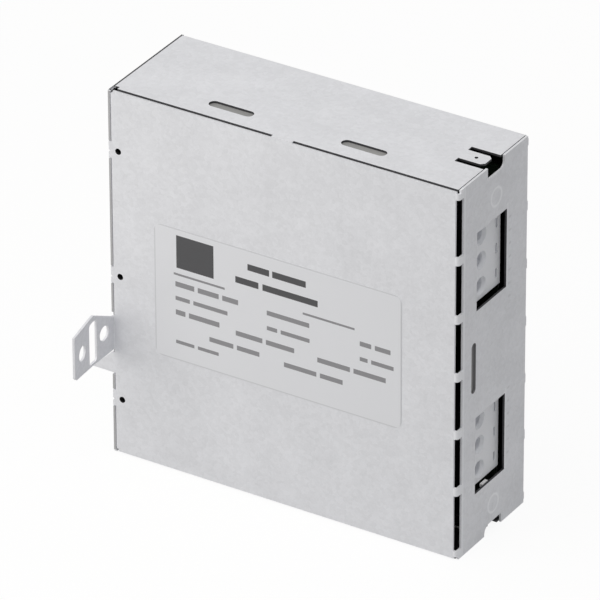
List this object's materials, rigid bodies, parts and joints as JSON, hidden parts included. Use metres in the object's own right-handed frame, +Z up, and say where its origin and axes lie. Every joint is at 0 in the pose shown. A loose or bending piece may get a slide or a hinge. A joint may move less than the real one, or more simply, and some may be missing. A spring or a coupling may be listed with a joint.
{
  "type": "three-phase emi line filter",
  "caption": "Line filter in a folded galvanised sheet-metal case with spring terminal blocks behind side windows, earth tongues and two bent fixing lugs.",
  "frame": {"origin": "centre of the case's base face", "axes": "+Z up, front panel with the label faces -Y, terminal windows face +X, fixing lugs at -X"},
  "size_m": [0.143, 0.101, 0.14],
  "materials": {
    "galvanised_wrap": "hot-dip galvanised sheet with a faint spangle, satin",
    "galvanised_chassis": "hot-dip galvanised sheet with a faint spangle, satin",
    "label_film": "silver polyester film with plain grey bars",
    "block_plastic": "light grey moulded polyamide, fine matt",
    "board_laminate": "green solder mask, satin",
    "liner_film": "light grey insulating sheet, matt",
    "plated_brass": "tinned copper alloy, satin",
    "spring_steel": "bright spring steel",
    "zinc_screws": "zinc-plated, bright",
    "ring_core": "nanocrystalline strip-wound core, grey",
    "case_plastic": "black moulded plastic",
    "base_plastic": "natural moulded polyamide",
    "enamelled_copper": "enamelled copper wire, gloss",
    "capacitor_yellow": "yellow moulded case",
    "capacitor_blue": "blue dipped ceramic",
    "resistor_body": "lacquered body",
    "tinned_strap": "tinned steel strap"
  },
  "bodies": {
    "root": {"cover_wrap": "galvanised_wrap", "chassis": "galvanised_chassis", "rating_label": "label_film", "circuit_board": "board_laminate", "board_standoffs": "zinc_screws", "board_screws": "zinc_screws", "line_terminal_housing": "block_plastic", "load_terminal_housing": "block_plastic", "choke_core": "ring_core", "choke_case": "case_plastic", "choke_lid": "case_plastic", "choke_base": "base_plastic", "earth_strap": "tinned_strap", "top_liner": "liner_film", "bottom_liner": "liner_film", "side_liner": "liner_film", "line_busbar_1": "plated_brass", "line_spring_1": "spring_steel", "load_busbar_1": "plated_brass", "load_spring_1": "spring_steel", "choke_winding_1": "enamelled_copper", "x_capacitor_1": "capacitor_yellow", "y_capacitor_1": "capacitor_blue", "bleed_resistor_1": "resistor_body", "line_busbar_2": "plated_brass", "line_spring_2": "spring_steel", "load_busbar_2": "plated_brass", "load_spring_2": "spring_steel", "choke_winding_2": "enamelled_copper", "x_capacitor_2": "capacitor_yellow", "y_capacitor_2": "capacitor_blue", "bleed_resistor_2": "resistor_body", "line_busbar_3": "plated_brass", "line_spring_3": "spring_steel", "load_busbar_3": "plated_brass", "load_spring_3": "spring_steel", "choke_winding_3": "enamelled_copper", "x_capacitor_3": "capacitor_yellow", "y_capacitor_3": "capacitor_blue", "bleed_resistor_3": "resistor_body"}
  },
  "joints": []
}
